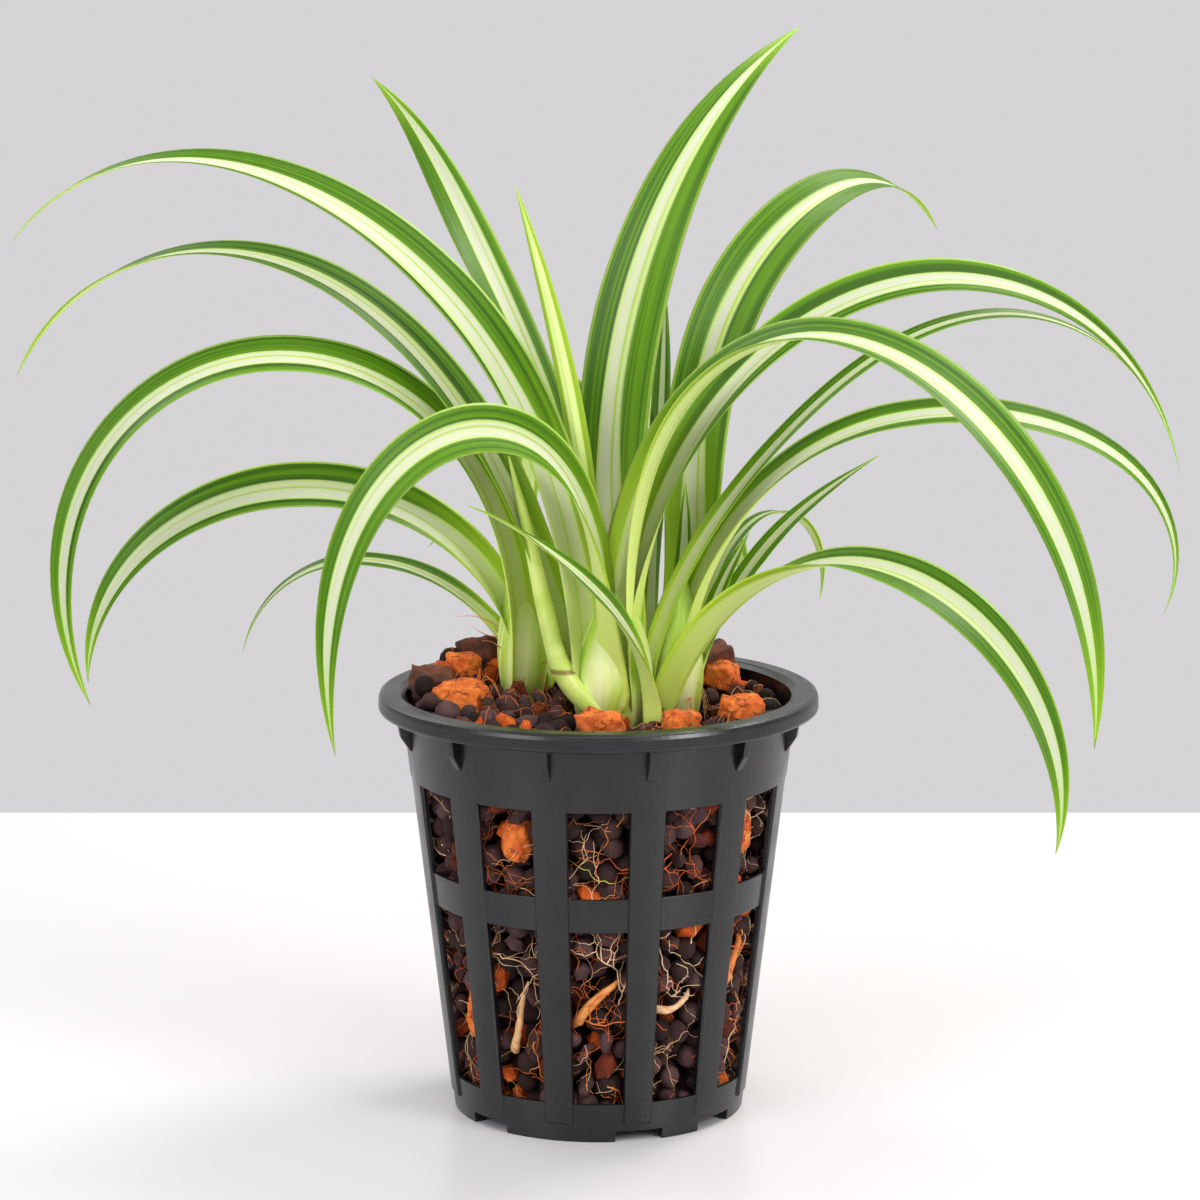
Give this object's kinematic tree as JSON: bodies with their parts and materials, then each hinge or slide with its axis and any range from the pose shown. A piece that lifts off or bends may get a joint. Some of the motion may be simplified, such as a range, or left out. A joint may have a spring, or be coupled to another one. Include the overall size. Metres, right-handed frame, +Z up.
{
  "type": "potted spider plant",
  "caption": "Variegated spider plant with long arching strap leaves, growing in a slotted net pot filled with clay pebbles and brick chunks.",
  "frame": {"origin": "centre of the pot's foot, on the surface it stands on", "axes": "+Z up the pot's axis, +X to the right as the front is faced, -Y towards the front"},
  "size_m": [0.325, 0.2165, 0.2941],
  "materials": {
    "pot": "satin",
    "pebbles": "matte",
    "brick": "matte",
    "root": "satin",
    "crown": "satin",
    "leaf": "satin"
  },
  "bodies": {
    "root": {"net_pot": "pot", "growing_medium": "pebbles", "crown_centre": "crown", "crown_left": "crown", "crown_right": "crown", "brick_chunk_top_front_left": "brick", "brick_chunk_top_front": "brick", "brick_chunk_top_front_right": "brick", "brick_chunk_top_right": "brick", "brick_chunk_top_left": "brick", "brick_chunk_top_back": "brick", "brick_chunk_top_back_right": "brick", "brick_chunk_upper_front_left": "brick", "brick_chunk_upper_right": "brick", "brick_chunk_upper_back": "brick", "brick_chunk_lower_left": "brick", "brick_chunk_lower_back_right": "brick", "root_front": "root", "root_front_left": "root", "root_front_right": "root", "root_right": "root", "root_back": "root", "leaf_left_top": "leaf", "leaf_left_second": "leaf", "leaf_left_third": "leaf", "leaf_left_fourth": "leaf", "leaf_left_low": "leaf", "leaf_front_left": "leaf", "leaf_front_small": "leaf", "leaf_upright_left": "leaf", "leaf_upright_small": "leaf", "leaf_upright_tall": "leaf", "leaf_back_upright": "leaf", "leaf_right_top": "leaf", "leaf_right_second": "leaf", "leaf_front_right": "leaf", "leaf_right_slim": "leaf", "leaf_right_third": "leaf", "leaf_right_behind": "leaf", "leaf_right_short": "leaf", "leaf_back_right_small": "leaf", "leaf_right_low": "leaf", "leaf_centre_short": "leaf", "leaf_back_left": "leaf", "leaf_back_right": "leaf", "leaf_back_left_small": "leaf", "leaf_back_right_short": "leaf"}
  },
  "joints": []
}
